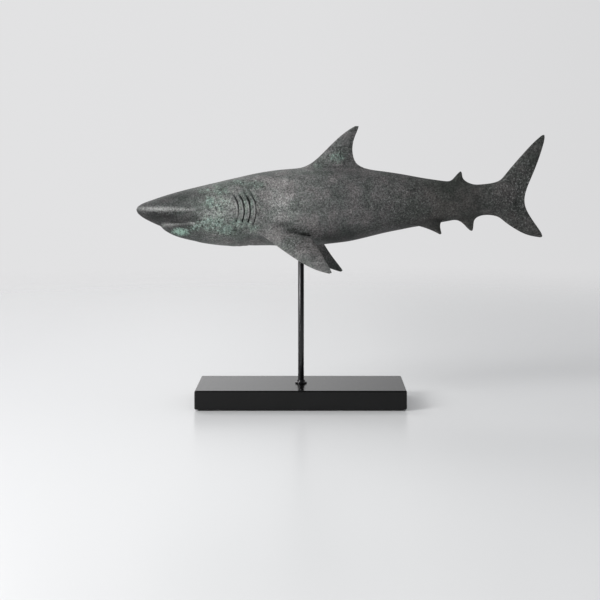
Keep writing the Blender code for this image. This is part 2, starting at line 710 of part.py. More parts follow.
def rod_collar(group, steel):
    flange = COLLAR_FLANGE_DIAMETER / 2
    sleeve = BORE_RADIUS + COLLAR_SLEEVE_WALL
    foot = BASE_TOP + FIT_GAP
    shoulder = foot + COLLAR_FLANGE_THICKNESS
    top = shoulder + COLLAR_SLEEVE_HEIGHT
    return turned("rod_collar", (
        (sleeve, top), (sleeve, shoulder), (flange, shoulder), (flange, foot),
        (BORE_RADIUS, foot), (BORE_RADIUS, top)), group, steel)


def support_rod(group, finish):
    bottom = NUT_BOTTOM - ROD_PAST_NUT
    top = INSERT_TOP - FIT_GAP
    return turned("support_rod", (
        (0, top), (ROD_RADIUS - ROD_CHAMFER, top), (ROD_RADIUS, top - ROD_CHAMFER),
        (ROD_RADIUS, bottom + ROD_CHAMFER), (ROD_RADIUS - ROD_CHAMFER, bottom), (0, bottom)), group, finish)


def retaining_nut(group, cutters, finish):
    mesh = bmesh.new()
    across_corners = NUT_ACROSS_FLATS / math.cos(math.radians(30))
    bmesh.ops.create_cone(mesh, cap_ends=True, segments=6, radius1=across_corners / 2,
                          radius2=across_corners / 2, depth=NUT_HEIGHT,
                          matrix=Matrix.Translation((0, 0, NUT_BOTTOM + NUT_HEIGHT / 2)))
    item = add_object("retaining_nut", mesh, group, finish)
    over = 0.002
    bore = turned("nut_bore", (
        (0, NUT_BOTTOM + NUT_HEIGHT + over), (BORE_RADIUS, NUT_BOTTOM + NUT_HEIGHT + over),
        (BORE_RADIUS, NUT_BOTTOM - over), (0, NUT_BOTTOM - over)), cutters)
    cut(item, bore)
    return item


def shark(group, cutters):
    """The casting: its skin is smoothed once, then bored for the bush."""
    item = add_object("shark", shark_cage(), group,
                      material("dark_patina_on_cast_resin", (0.09, 0.10, 0.095), 0.6))
    smooth = item.modifiers.new("smooth", "SUBSURF")
    smooth.levels = 1
    smooth.render_levels = 1
    radius = INSERT_RADIUS + FIT_GAP
    over = 0.015
    bore = turned("belly_bore", (
        (0, INSERT_TOP + FIT_GAP), (radius, INSERT_TOP + FIT_GAP),
        (radius, INSERT_BOTTOM - over), (0, INSERT_BOTTOM - over)), cutters)
    cut(item, bore)
    item.data.shade_smooth()
    return item


def main():
    clear_scene()
    group = new_collection("shark_figurine")
    cutters = new_collection("cutters")
    black_steel = material("black_painted_steel", (0.01, 0.01, 0.01), 0.25, 0.0)
    zinc = material("zinc_plated_steel", (0.55, 0.56, 0.57), 0.35, 1.0)
    brass = material("brass", (0.6, 0.42, 0.14), 0.35, 1.0)
    felt_sheet(group)
    base(group, cutters)
    ring_piece("washer", WASHER_DIAMETER / 2, BORE_RADIUS, WASHER_BOTTOM,
               WASHER_BOTTOM + WASHER_THICKNESS, group, zinc)
    retaining_nut(group, cutters, zinc)
    support_rod(group, black_steel)
    rod_collar(group, black_steel)
    ring_piece("threaded_insert", INSERT_RADIUS, BORE_RADIUS, INSERT_BOTTOM, INSERT_TOP, group, brass)
    shark(group, cutters)


main()
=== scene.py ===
# %% [markdown]
# # A cast shark on a slim rod
# The real object is a desk sculpture: one dark casting with a rubbed, mottled patina, held level on
# a thin black rod over a lacquered plinth. This lesson dresses its imported solids. The solids stay
# where they are, and each step adds a finish, or a finer piece that stands for a solid.
# The first cell loads the solids.

# %% Load the imported solids
import math

import bpy
import numpy as np
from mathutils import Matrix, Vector


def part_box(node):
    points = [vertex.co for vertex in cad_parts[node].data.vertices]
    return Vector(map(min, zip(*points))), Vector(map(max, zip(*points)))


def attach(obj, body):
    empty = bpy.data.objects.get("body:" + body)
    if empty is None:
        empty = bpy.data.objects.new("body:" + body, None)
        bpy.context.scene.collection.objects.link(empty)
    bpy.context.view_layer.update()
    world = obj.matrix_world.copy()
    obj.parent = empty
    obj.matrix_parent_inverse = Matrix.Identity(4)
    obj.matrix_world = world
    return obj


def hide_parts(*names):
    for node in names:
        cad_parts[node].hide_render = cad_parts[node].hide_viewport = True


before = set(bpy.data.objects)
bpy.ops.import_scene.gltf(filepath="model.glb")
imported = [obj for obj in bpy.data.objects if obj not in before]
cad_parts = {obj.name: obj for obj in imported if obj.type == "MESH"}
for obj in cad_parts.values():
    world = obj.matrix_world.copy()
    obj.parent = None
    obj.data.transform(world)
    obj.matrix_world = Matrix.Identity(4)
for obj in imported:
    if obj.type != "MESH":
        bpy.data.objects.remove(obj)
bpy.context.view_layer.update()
print("solids:", ", ".join(sorted(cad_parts)))

# %% [markdown]
# ## Camera
# A sculpture is photographed from well back with a long lens, so that the nose and the tail aren't
# stretched. The camera looks level along +Y from a little above the shark's back, and the lens is
# shifted down and left to frame it, as a view camera does, which keeps the rod and plinth upright.
# Aiming the camera down instead would make the uprights lean.

# %% Camera
IMAGE_SIDE = 600
camera_data = bpy.data.cameras.new("camera")
camera_data.sensor_width = 36
camera_data.lens = 82.5
camera_data.shift_x = -12.5 / IMAGE_SIDE
camera_data.shift_y = -155.5 / IMAGE_SIDE
camera = bpy.data.objects.new("camera", camera_data)
camera.location = (0.0156, -1.868, 0.3508)
camera.rotation_euler = (math.radians(90), 0, 0)
bpy.context.scene.collection.objects.link(camera)
bpy.context.scene.camera = camera
bpy.context.scene.view_settings.view_transform = "Standard"
print("camera distance to the rod:", round(-camera.location.y, 3), "m")


# %% [markdown]
# ## Two helpers
# Colours are easier to choose as the hex values of a paint chart, but shaders work in linear light,
# so one function turns hex into linear. Node trees get long, and most of the work is setting
# properties and joining sockets. One small function does both, so that each line of a material
# reads as one node.

# %% Colour and node helpers
def linear(hex_colour):
    """Linear red, green, blue and alpha of an sRGB hex colour."""
    parts = [int(hex_colour[i:i + 2], 16) / 255 for i in (1, 3, 5)]
    return tuple(c / 12.92 if c <= 0.04045 else ((c + 0.055) / 1.055) ** 2.4 for c in parts) + (1,)


def add_node(tree, kind, feeds=None, stops=None, **settings):
    """Add one node: its settings, its sockets fed by values or other sockets, and its ramp stops."""
    node = tree.nodes.new(kind)
    for name, value in settings.items():
        setattr(node, name, value)
    for socket, value in (feeds or {}).items():
        target = node.inputs[socket]
        if isinstance(value, bpy.types.NodeSocket):
            tree.links.new(value, target)
        else:
            target.default_value = value
    if stops:
        ramp = node.color_ramp
        while len(ramp.elements) < len(stops):
            ramp.elements.new(0.5)
        for element, (place, colour) in zip(ramp.elements, stops):
            element.position = place
            element.color = linear(colour)
    return node


def new_material(name):
    """An empty material with its output and shader joined, and its Object coordinates."""
    finish = bpy.data.materials.new(name)
    finish.use_nodes = True
    tree = finish.node_tree
    tree.nodes.clear()
    shader = add_node(tree, "ShaderNodeBsdfPrincipled")
    add_node(tree, "ShaderNodeOutputMaterial", {"Surface": shader.outputs["BSDF"]})
    coords = add_node(tree, "ShaderNodeTexCoord").outputs["Object"]
    return finish, tree, shader, coords


print("mid grey #808080 is", round(linear("#808080")[0], 3), "in linear light")


# %% [markdown]
# ## Floor and backdrop
# A studio has a sheet of paper that runs from the table up the wall. Here a wide disc takes the
# shadow, and its edge fades out into the backdrop, so no line shows where they meet from any side.
# The backdrop is the world's colour, a little paler on the left, where the window light comes from.
# What a shiny face mirrors is the rest of the room, so that has its own settings. It is dark behind
# the camera, brighter on the left than on the right, and dimmed far to both sides, so that the tail
# stays dark when it is seen from its end. One small bright window stands in it, front left, and
# draws the pale line down the rod. A faint glow behind the camera lightens the left half of the
# plinth's front.

# %% Floor
FLOOR_RADIUS = 2.6
FADE_START, FADE_END = 0.4, 2.2
bpy.ops.object.select_all(action="DESELECT")
bpy.ops.mesh.primitive_circle_add(vertices=96, radius=FLOOR_RADIUS, fill_type="NGON", location=(0, 0, 0))
floor = bpy.context.object
floor.name = "floor"

paper, tree, shader, coords = new_material("pale_floor_paper")
shader.inputs["Roughness"].default_value = 0.28
shader.inputs["Specular IOR Level"].default_value = 0.35
x = add_node(tree, "ShaderNodeSeparateXYZ", {0: coords}).outputs["X"]
across = add_node(tree, "ShaderNodeMapRange", {0: x, 1: -0.5, 2: 0.6}).outputs[0]
# The paper's colour is painted paler just right of the rod, which lifts the shadow that the window lamp
# casts there, and darker on the left, where that lamp is strongest.
tone = add_node(tree, "ShaderNodeValToRGB", {0: across},
                stops=[(0, "#dededf"), (0.55, "#f0f0f0"), (1, "#e8e8e9")])
tree.links.new(tone.outputs[0], shader.inputs["Base Color"])
away = add_node(tree, "ShaderNodeVectorMath", {0: coords}, operation="LENGTH").outputs["Value"]
solid = add_node(tree, "ShaderNodeMapRange", {0: away, 1: FADE_START, 2: FADE_END, 3: 1.0, 4: 0.0},
                 interpolation_type="SMOOTHSTEP")
tree.links.new(solid.outputs[0], shader.inputs["Alpha"])
floor.data.materials.append(paper)
print("floor disc:", FLOOR_RADIUS, "m")

# %% World
AMBIENT = 0.58
ROOM_BEHIND_CAMERA = 0.16
ROOM_LEFT, ROOM_RIGHT = 1.2, 0.6
ROOM_FAR_ASIDE = 0.50
SIDE_EDGE = 0.09
WINDOW_DIRECTION = (-0.743, -0.669, 0.0)
WINDOW_RIM, WINDOW_CORE = 0.985, 0.996
WINDOW_STRENGTH = 30.0
FRONT_GLOW = 0.6
world = bpy.data.worlds.new("studio")
bpy.context.scene.world = world
world.use_nodes = True
tree = world.node_tree
tree.nodes.clear()
direction = add_node(tree, "ShaderNodeTexCoord").outputs["Generated"]
axes = add_node(tree, "ShaderNodeSeparateXYZ", {0: direction})
across = add_node(tree, "ShaderNodeMapRange", {0: axes.outputs["X"], 1: -0.2, 2: 0.2}).outputs[0]
wall = add_node(tree, "ShaderNodeValToRGB", {0: across},
                stops=[(0, "#e2e2e3"), (0.5, "#e0e0e1"), (1, "#dadadb")])
behind = add_node(tree, "ShaderNodeMapRange",
                  {0: axes.outputs["Y"], 1: -0.6, 2: 0.4, 3: ROOM_BEHIND_CAMERA, 4: 1.0})
seen = add_node(tree, "ShaderNodeBackground", {"Color": wall.outputs[0], "Strength": 1.0})
sideways = add_node(tree, "ShaderNodeMapRange",
                    {0: axes.outputs["X"], 1: -SIDE_EDGE, 2: SIDE_EDGE, 3: ROOM_LEFT, 4: ROOM_RIGHT})
slant = add_node(tree, "ShaderNodeVectorMath", {0: direction, 1: WINDOW_DIRECTION},
                 operation="DOT_PRODUCT")
window = add_node(tree, "ShaderNodeMapRange",
                  {0: slant.outputs["Value"], 1: WINDOW_RIM, 2: WINDOW_CORE, 3: 0.0,
                   4: WINDOW_STRENGTH})
room = add_node(tree, "ShaderNodeMath", {0: behind.outputs[0], 1: sideways.outputs[0]},
                operation="MULTIPLY")
wide_x = add_node(tree, "ShaderNodeMath", {0: axes.outputs["X"]}, operation="ABSOLUTE")
aside = add_node(tree, "ShaderNodeMapRange",
                 {0: wide_x.outputs[0], 1: 0.3, 2: 0.9, 3: 1.0, 4: ROOM_FAR_ASIDE})
room = add_node(tree, "ShaderNodeMath", {0: room.outputs[0], 1: aside.outputs[0]}, operation="MULTIPLY")
room = add_node(tree, "ShaderNodeMath", {0: room.outputs[0], 1: window.outputs[0]}, operation="ADD")
facing = add_node(tree, "ShaderNodeMapRange",
                  {0: axes.outputs["Y"], 1: -0.80, 2: -0.95, 3: 0.0, 4: FRONT_GLOW})
leftward = add_node(tree, "ShaderNodeMapRange",
                    {0: axes.outputs["X"], 1: -SIDE_EDGE, 2: SIDE_EDGE, 3: 1.0, 4: 0.0})
glow = add_node(tree, "ShaderNodeMath", {0: facing.outputs[0], 1: leftward.outputs[0]},
                operation="MULTIPLY")
room = add_node(tree, "ShaderNodeMath", {0: room.outputs[0], 1: glow.outputs[0]}, operation="ADD")
mirrored = add_node(tree, "ShaderNodeBackground",
                    {"Color": linear("#e4e4e5"), "Strength": room.outputs[0]})
ambient = add_node(tree, "ShaderNodeBackground", {"Color": linear("#f4f6f8"), "Strength": AMBIENT})
rays = add_node(tree, "ShaderNodeLightPath")
shiny = add_node(tree, "ShaderNodeMath",
                 {0: rays.outputs["Is Glossy Ray"], 1: rays.outputs["Is Transmission Ray"]},
                 operation="MAXIMUM").outputs[0]
light = add_node(tree, "ShaderNodeMixShader", {0: shiny, 1: ambient.outputs[0], 2: mirrored.outputs[0]})
both = add_node(tree, "ShaderNodeMixShader",
                {0: rays.outputs["Is Camera Ray"], 1: light.outputs[0], 2: seen.outputs[0]})
add_node(tree, "ShaderNodeOutputWorld", {0: both.outputs[0]})
print("backdrop: pale grey world, ambient strength", AMBIENT)


# %% [markdown]
# ## Lamps
# One big soft lamp stands high on the left and in front, like a window. It lights the near side and
# draws the soft shadow to the right of the plinth. A second, weaker one behind on the left rims the
# back. The rest of the light is the room's.

# %% Lamps
def soft_lamp(name, place, aim, side, power):
    """A square lamp at a place, turned towards a point."""
    data = bpy.data.lights.new(name, "AREA")
    data.shape = "SQUARE"
    data.size = side
    data.energy = power
    lamp = bpy.data.objects.new(name, data)
    lamp.location = place
    lamp.rotation_euler = (Vector(aim) - Vector(place)).to_track_quat("-Z", "Y").to_euler()
    bpy.context.scene.collection.objects.link(lamp)
    return lamp


soft_lamp("window_left", place=(-1.6, -1.15, 1.15), aim=(0, 0, 0.2), side=0.9, power=33)
soft_lamp("rim_left", place=(-1.0, 1.3, 1.4), aim=(0, 0, 0.25), side=0.8, power=8)


# %% [markdown]
# ## The casting
# The shark is one casting, and its solid already has every main form: the snout, the jaw, the gill
# slits and the fins. Building it again from a primitive would lose that, so the step starts from a
# copy of the solid. The copy's loose triangles are merged into one skin, joined back into
# four-sided faces, and smoothed by subdivision, which rounds the fins the way wax does in the mould.

# %% Copy a node as one skin
def skin_of_node(node, name):
    """A new piece with a node's shape, merged, with its stored normals cleared."""
    bpy.ops.object.select_all(action="DESELECT")
    piece = bpy.data.objects.new(name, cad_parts[node].data.copy())
    bpy.context.scene.collection.objects.link(piece)
    piece.select_set(True)
    bpy.context.view_layer.objects.active = piece
    if piece.data.has_custom_normals:
        bpy.ops.mesh.customdata_custom_splitnormals_clear()
    bpy.ops.object.mode_set(mode="EDIT")
    bpy.ops.mesh.select_all(action="SELECT")
    bpy.ops.mesh.remove_doubles(threshold=0.00002)
    bpy.ops.mesh.tris_convert_to_quads(face_threshold=math.radians(60), shape_threshold=math.radians(60))
    bpy.ops.mesh.select_all(action="DESELECT")
    bpy.ops.object.mode_set(mode="OBJECT")
    piece.data.materials.clear()
    return piece


shark = skin_of_node("shark", "shark_casting")
sides = [len(f.vertices) for f in shark.data.polygons]
print("faces:", len(sides), "four-sided:", sides.count(4), "points:", len(shark.data.vertices))

# %% Smooth the skin
# The bush sits in a bore in the belly. Creased edges keep their place when the rest is smoothed, so
# the bore keeps its size.
BORE_REACH = 0.0075
BORE_TOP = 0.25
creases = shark.data.attributes.new("crease_edge", "FLOAT", "EDGE")
for edge in shark.data.edges:
    ends = [shark.data.vertices[i].co for i in edge.vertices]
    in_bore = all(math.hypot(p.x, p.y) < BORE_REACH and p.z < BORE_TOP for p in ends)
    creases.data[edge.index].value = 1.0 if in_bore else 0.0
smooth = shark.modifiers.new("smooth", "SUBSURF")
smooth.levels = 2
smooth.render_levels = 2
bpy.ops.object.modifier_apply(modifier="smooth")
shark.data.attributes.remove(shark.data.attributes["crease_edge"])
bpy.ops.object.shade_smooth()
print("smoothed skin:", len(shark.data.polygons), "faces")

# %% [markdown]
# ## Touch up the points
# Some changes are finer than the solid's rings, so they are made on the smoothed points: the gill
# slits lean forward at their upper ends, the belly line under them is evened out, and the tips of
# the long fins are rounded. The moves fade out towards the rims of their areas, so no step shows.

# %% Points and their neighbours
mesh = shark.data
count = len(mesh.vertices)
points = np.empty(count * 3)
ends = np.empty(len(mesh.edges) * 2, dtype=np.int64)
mesh.vertices.foreach_get("co", points)
mesh.edges.foreach_get("vertices", ends)
points = points.reshape(-1, 3)
a, b = ends.reshape(-1, 2).T
links = np.bincount(a, minlength=count) + np.bincount(b, minlength=count)


def around(values):
    """The mean value of each point's neighbours."""
    return (np.bincount(a, values[b], count) + np.bincount(b, values[a], count)) / links


def band(values, stops):
    """1 between the two middle stops, fading to 0 at the outer two."""
    return np.interp(values, stops, (0.0, 1.0, 1.0, 0.0))


def below(values, full, none):
    """1 up to the first value, fading to 0 at the second."""
    return np.interp(values, (full, none), (1.0, 0.0))


def store_points():
    """Write the points back to the mesh."""
    mesh.vertices.foreach_set("co", points.ravel())
    mesh.update()


print("points:", count, "edges:", len(a))

# %% Bow the gill slits
# How far the slits move along the body at each height. Minus is towards the nose.
BOW_HEIGHTS_MM = (245, 250, 255, 260, 265, 270, 275, 280, 285, 290, 295, 305, 315)
BOW_SHIFTS_MM = (0.0, 0.2, 0.5, 0.8, 0.9, 0.7, 0.2, -0.7, -1.7, -2.5, -2.9, -2.0, 0.0)
BOW_SPAN = (-0.115, -0.095, -0.052, -0.030)
fade = band(points[:, 0], BOW_SPAN)
points[:, 0] += fade * np.interp(points[:, 2] * 1000, BOW_HEIGHTS_MM, BOW_SHIFTS_MM) / 1000
print("points moved at the gills:", int((fade > 0).sum()))

# %% Even out the belly and round the fin tips
# The belly's points move a little in and then a little more out again in each round. That takes out
# the short waves and doesn't shrink the form.
BELLY_SPAN = (-0.125, -0.105, -0.055, -0.040)
BELLY_TOP = 0.234
SAG = 0.0009
SAG_SPAN = (-0.100, -0.084, -0.062, -0.042)
SAG_HEIGHTS = (0.220, 0.238)
BELLY_ROUNDS = 40
TIP_ROUNDS = 32
FIN_TIPS = ((0.0610, 0.3762), (0.0385, 0.1800), (0.0565, 0.1815))
TIP_REACH = (0.008, 0.015)


def relax(mask, shares):
    """Move masked points to the middle of their neighbours, or away from it for a minus share."""
    for share in shares:
        for k in range(3):
            points[:, k] += share * mask * (around(points[:, k]) - points[:, k])


belly = band(points[:, 0], BELLY_SPAN) * (points[:, 2] < BELLY_TOP)
tips = np.zeros(count)
for tip_x, tip_z in FIN_TIPS:
    away = np.hypot(points[:, 0] - tip_x, points[:, 2] - tip_z)
    tips = np.maximum(tips, below(away, *TIP_REACH))
relax(belly, [0.5, -0.52] * BELLY_ROUNDS)
points[:, 2] -= SAG * band(points[:, 0], SAG_SPAN) * below(points[:, 2], *SAG_HEIGHTS)
relax(tips, [0.5] * TIP_ROUNDS)
store_points()
print("points at the belly:", int((belly > 0).sum()), "at the fin tips:", int((tips > 0).sum()))

# %% [markdown]
# ## Where the patina stays and where it rubs off
# A patina is brushed on and wiped off. It stays dark in hollows, such as the gill slits and the
# mouth, and rubs pale on edges, such as the front of a fin. The render engine could work that out
# from each view, but an exported part can't, so it is measured here once. A point that lies behind
# the middle of its neighbours is in a hollow, and one in front of it is on an edge. The same
# measure first cuts the slits a little deeper, as a chaser does with a graver.

# %% Measure hollows and edges
def stored_normals():
    """The direction that the skin faces at each point."""
    normals = np.empty(count * 3)
    mesh.vertices.foreach_get("normal", normals)
    return normals.reshape(-1, 3)


def hollow_of(rounds):
    """How far each point lies behind its neighbours, in shares of their distance, averaged."""
    centre = np.stack([around(points[:, k]) for k in range(3)], axis=1)
    lengths = np.linalg.norm(points[a] - points[b], axis=1)
    spacing = (np.bincount(a, lengths, count) + np.bincount(b, lengths, count)) / links
    depth = ((centre - points) * stored_normals()).sum(axis=1) / spacing
    for _ in range(rounds):
        depth = 0.5 * depth + 0.5 * around(depth)
    return depth


CHASED_SPAN = (-0.118, -0.110, -0.045, -0.035)
CHASED_HEIGHTS = (0.246, 0.252, 0.290, 0.297)
CHASED_DEPTH = 0.012
CHASED_LIMITS = (-0.05, 0.09)
chased = np.clip(hollow_of(2), *CHASED_LIMITS) * CHASED_DEPTH
chased *= band(points[:, 0], CHASED_SPAN) * band(points[:, 2], CHASED_HEIGHTS)
points -= stored_normals() * chased[:, None]
store_points()
print("deepest cut:", round(float(chased.max()) * 1000, 2), "mm")

# %% Widen the dark lines at the slits and the mouth
# The wax fills a slit from wall to wall, so each point there takes the deepest value within three
# steps. Edges keep their own value, which leaves a pale rim beside each slit.
WAX_HEIGHTS = (0.246, 0.250, 0.290, 0.297)
WAX_GAIN = 2.4
MOUTH_GAIN = 2.5
MOUTH_BOX = ((-0.189, -0.142), (0.238, 0.254))
CHIN = -0.190
EDGE_LIMIT = -0.045
hollow = hollow_of(1)
deepest = hollow.copy()
for _ in range(3):
    before = deepest.copy()
    np.maximum.at(deepest, a, before[b])
    np.maximum.at(deepest, b, before[a])
deepest = np.where(hollow < EDGE_LIMIT, hollow, deepest)
near = band(points[:, 0], CHASED_SPAN) * band(points[:, 2], WAX_HEIGHTS)
hollow = (hollow + near * (deepest - hollow)) * (1 + WAX_GAIN * near)
(front, back), (low, high) = MOUTH_BOX
across_mouth = (points[:, 0] > front) & (points[:, 0] < back)
hollow[across_mouth & (points[:, 2] > low) & (points[:, 2] < high)] *= MOUTH_GAIN
hollow[points[:, 0] < CHIN] = 0.0
attribute = mesh.attributes.new("hollow", "FLOAT", "POINT")
attribute.data.foreach_set("value", hollow.astype(np.float32))
print("hollow shares: 1% at", round(float(np.quantile(hollow, 0.01)), 3),
      "99% at", round(float(np.quantile(hollow, 0.99)), 3))

# %% [markdown]
# ## The patina
# The finish is cold-cast resin with a dark brushed patina, waxed to a low sheen. Seen close it is
# never one colour: broad cloudy areas of green-grey and warm grey, a mid-size mottle, and fine salt
# and pepper where the brush left the high grain. The snout is dark, the head palest, and the tail
# darkest of all. Each size of mark is its own noise, with the scale worked out from its size in
# millimetres. The finest real grain is a few tenths of a millimetre, too fine to show, so it is
# drawn at about 2 mm.

# %% Patina: tone from nose to tail
def millimetres(size):
    """Noise scale that gives marks of about this size, in millimetres."""
    return 1000.0 / size


def ellipse(tree, coords, centre_mm, half_mm, amount, hardness=0.3):
    """A soft patch at a place along and up the side, fading to 0 a little past its rim."""
    centre = (centre_mm[0] / 1000, 0, centre_mm[1] / 1000)
    offset = add_node(tree, "ShaderNodeVectorMath", {0: coords, 1: centre},
                      operation="SUBTRACT").outputs[0]
    share = add_node(tree, "ShaderNodeVectorMath",
                     {0: offset, 1: (1000 / half_mm[0], 0, 1000 / half_mm[1])},
                     operation="MULTIPLY").outputs[0]
    far = add_node(tree, "ShaderNodeVectorMath", {0: share}, operation="LENGTH").outputs["Value"]
    return add_node(tree, "ShaderNodeMapRange",
                    {0: far, 1: 1.3, 2: hardness, 3: 0.0, 4: amount}).outputs[0]


def widest(tree, patches):
    """The strongest of several patches at each point."""
    total = patches[0]
    for patch in patches[1:]:
        total = add_node(tree, "ShaderNodeMath", {0: total, 1: patch}, operation="MAXIMUM").outputs[0]
    return total


NOSE_X, TAIL_X = -0.225, 0.335
TONES = (
    (0.0, "#4e504f"), (0.10, "#4e504f"), (0.20, "#7b7e7b"), (0.27, "#757775"), (0.36, "#818280"),
    (0.50, "#616261"), (0.62, "#595958"), (0.74, "#464744"), (0.86, "#484947"), (1.0, "#454644"),
)
patina, tree, shader, coords = new_material("brushed_patina_on_cast_resin")
axes = add_node(tree, "ShaderNodeSeparateXYZ", {0: coords})
span = add_node(tree, "ShaderNodeMapRange", {0: axes.outputs["X"], 1: NOSE_X, 2: TAIL_X}).outputs[0]
tone = add_node(tree, "ShaderNodeValToRGB", {0: span}, stops=TONES)
print("tone stops:", len(TONES))

# %% [markdown]
# ## Pale and dark areas
# Some areas are the patina's own: the hand that rubbed it pressed harder in some places. Others are painted
# light and shade: the dark band under the snout's ridge, the dark valley behind the pectoral fin's root and
# the darker belly are painted shade, and the pale spot at that root is a painted highlight. Each pale or
# dark area is a soft ellipse with a place and a size in millimetres. The ellipses ignore how deep a point
# lies, so both sides of the shark get them, and the noises break them up in a different way on each side.
# Only the far pectoral fin has a dark area of its own: a painted shadow of the near fin.

# %% Pale and dark areas
# Mostly the patina's own pale areas, with a painted highlight at the pectoral fin's root.
PALE_TONES_AND_HIGHLIGHT = (
    ((-32, 269), (22, 20), 0.42), ((-19, 257), (18, 9), 0.25), ((-28, 216), (26, 7), 0.22),
    ((18, 190), (22, 9), 0.16), ((-5, 222), (30, 16), 0.10), ((-110, 262), (26, 22), 0.25),
    ((-172, 236), (24, 9), 0.25), ((8, 330), (18, 20), 0.12), ((110, 285), (40, 12), 0.10),
)
# The patina's own dark areas, with painted shade under the snout's ridge, behind the pectoral fin's root
# and along the belly.
DARK_TONES_AND_SHADE = (
    ((-186, 254), (40, 8), 0.75), ((-150, 252), (24, 7), 0.60), ((-170, 246), (24, 2.2), 0.85),
    ((-156, 241), (26, 6), 0.60), ((-132, 232), (14, 10), 0.35), ((-150, 285), (60, 9), 0.22),
    ((-60, 312), (60, 8), 0.20), ((-80, 222), (50, 7), 0.10), ((-50, 266), (17, 27), 0.46),
    ((-24, 244), (18, 7), 0.60), ((-8, 237), (20, 7), 0.85), ((10, 232), (16, 7), 0.80),
    ((22, 225), (12, 7), 0.60), ((8, 214), (18, 8), 0.22), ((50, 221), (110, 20), 0.72),
    ((175, 240), (70, 14), 0.50), ((250, 270), (60, 12), 0.15),
)
# A painted shadow of the near pectoral fin, laid on the far one only.
FAR_FIN_SHADOW = ((32, 196), (34, 26), 0.42)
pale_and_highlit = widest(tree, [ellipse(tree, coords, *patch, hardness=0.0) for patch in PALE_TONES_AND_HIGHLIGHT])
dark_and_shaded = widest(tree, [ellipse(tree, coords, *patch, hardness=0.0) for patch in DARK_TONES_AND_SHADE])
far_side = add_node(tree, "ShaderNodeMapRange", {0: axes.outputs["Y"], 1: 0.02, 2: 0.035}).outputs[0]
far_fin_shadow = ellipse(tree, coords, *FAR_FIN_SHADOW, hardness=0.4)
far_fin_shadow = add_node(tree, "ShaderNodeMath", {0: far_fin_shadow, 1: far_side}, operation="MULTIPLY").outputs[0]
dark_and_shaded = widest(tree, [dark_and_shaded, far_fin_shadow])
lift = add_node(tree, "ShaderNodeMath", {0: pale_and_highlit, 1: dark_and_shaded}, operation="SUBTRACT").outputs[0]
lift = add_node(tree, "ShaderNodeMath", {0: lift, 1: 1.0}, operation="ADD").outputs[0]
shaded = add_node(tree, "ShaderNodeVectorMath", {0: tone.outputs[0], "Scale": lift},
                  operation="SCALE").outputs[0]
print("pale areas:", len(PALE_TONES_AND_HIGHLIGHT), "dark areas:", len(DARK_TONES_AND_SHADE))

# %% Mottle and grain
# The brush skipped in some areas. There the grain has more contrast, and the pale flecks of a
# later cell lie on it.
clouds = add_node(tree, "ShaderNodeTexNoise",
                  {"Vector": coords, "Scale": millimetres(32), "Detail": 4.0, "Roughness": 0.6})
mottle = add_node(tree, "ShaderNodeTexNoise",
                  {"Vector": coords, "Scale": millimetres(9), "Detail": 5.0, "Roughness": 0.7})
grain = add_node(tree, "ShaderNodeTexNoise",
                 {"Vector": coords, "Scale": millimetres(2.3), "Detail": 3.0, "Roughness": 0.85})
hue = add_node(tree, "ShaderNodeValToRGB", {0: clouds.outputs[0]},
               stops=[(0.38, "#7c8a82"), (0.5, "#828282"), (0.60, "#8c8083")])
tinted = add_node(tree, "ShaderNodeMix", {0: 0.6, 6: shaded, 7: hue.outputs[0]},
                  data_type="RGBA", blend_type="SOFT_LIGHT").outputs[2]
depth = add_node(tree, "ShaderNodeMapRange",
                 {0: mottle.outputs[0], 1: 0.35, 2: 0.65, 3: 0.74, 4: 1.28}).outputs[0]
cloudy = add_node(tree, "ShaderNodeMapRange",
                  {0: clouds.outputs[0], 1: 0.36, 2: 0.64, 3: 0.70, 4: 1.26}).outputs[0]
depth = add_node(tree, "ShaderNodeMath", {0: depth, 1: cloudy}, operation="MULTIPLY").outputs[0]
mottled = add_node(tree, "ShaderNodeVectorMath", {0: tinted, "Scale": depth}, operation="SCALE").outputs[0]
FLECKED = (
    ((-40, 265), (45, 30), 0.55), ((-115, 255), (36, 30), 0.62), ((-186, 263), (40, 8), 0.45),
    ((-5, 220), (34, 24), 0.60), ((300, 290), (50, 60), 0.50), ((40, 340), (40, 40), 0.40),
    ((120, 275), (90, 40), 0.35),
)
skipped = widest(tree, [ellipse(tree, coords, *patch, hardness=0.0) for patch in FLECKED])
low = add_node(tree, "ShaderNodeMath", {0: skipped, 1: -0.30, 2: 0.56},
               operation="MULTIPLY_ADD").outputs[0]
high = add_node(tree, "ShaderNodeMath", {0: skipped, 1: 0.90, 2: 1.80},
                operation="MULTIPLY_ADD").outputs[0]
depth = add_node(tree, "ShaderNodeMapRange",
                 {0: grain.outputs[0], 1: 0.41, 2: 0.67, 3: low, 4: high}).outputs[0]
grained = add_node(tree, "ShaderNodeVectorMath", {0: mottled, "Scale": depth}, operation="SCALE").outputs[0]
print("patina nodes so far:", len(tree.nodes))

# %% [markdown]
# ## Verdigris
# Copper dust in the resin turns pale green where it is wetted, in blotches with broken edges. They
# gather on the jaw, the cheek, the gills and the front of the back fin, with faint ones on the rear
# body and the tail. Where they are thin the dark ground shows through as specks, so a coarse and a
# fine noise both eat into each blotch. At its rim a blotch only stains the patina, and further in
# it is a crust. The strongest, on the jaw, is thick and paler. Small dark pits break them all up.

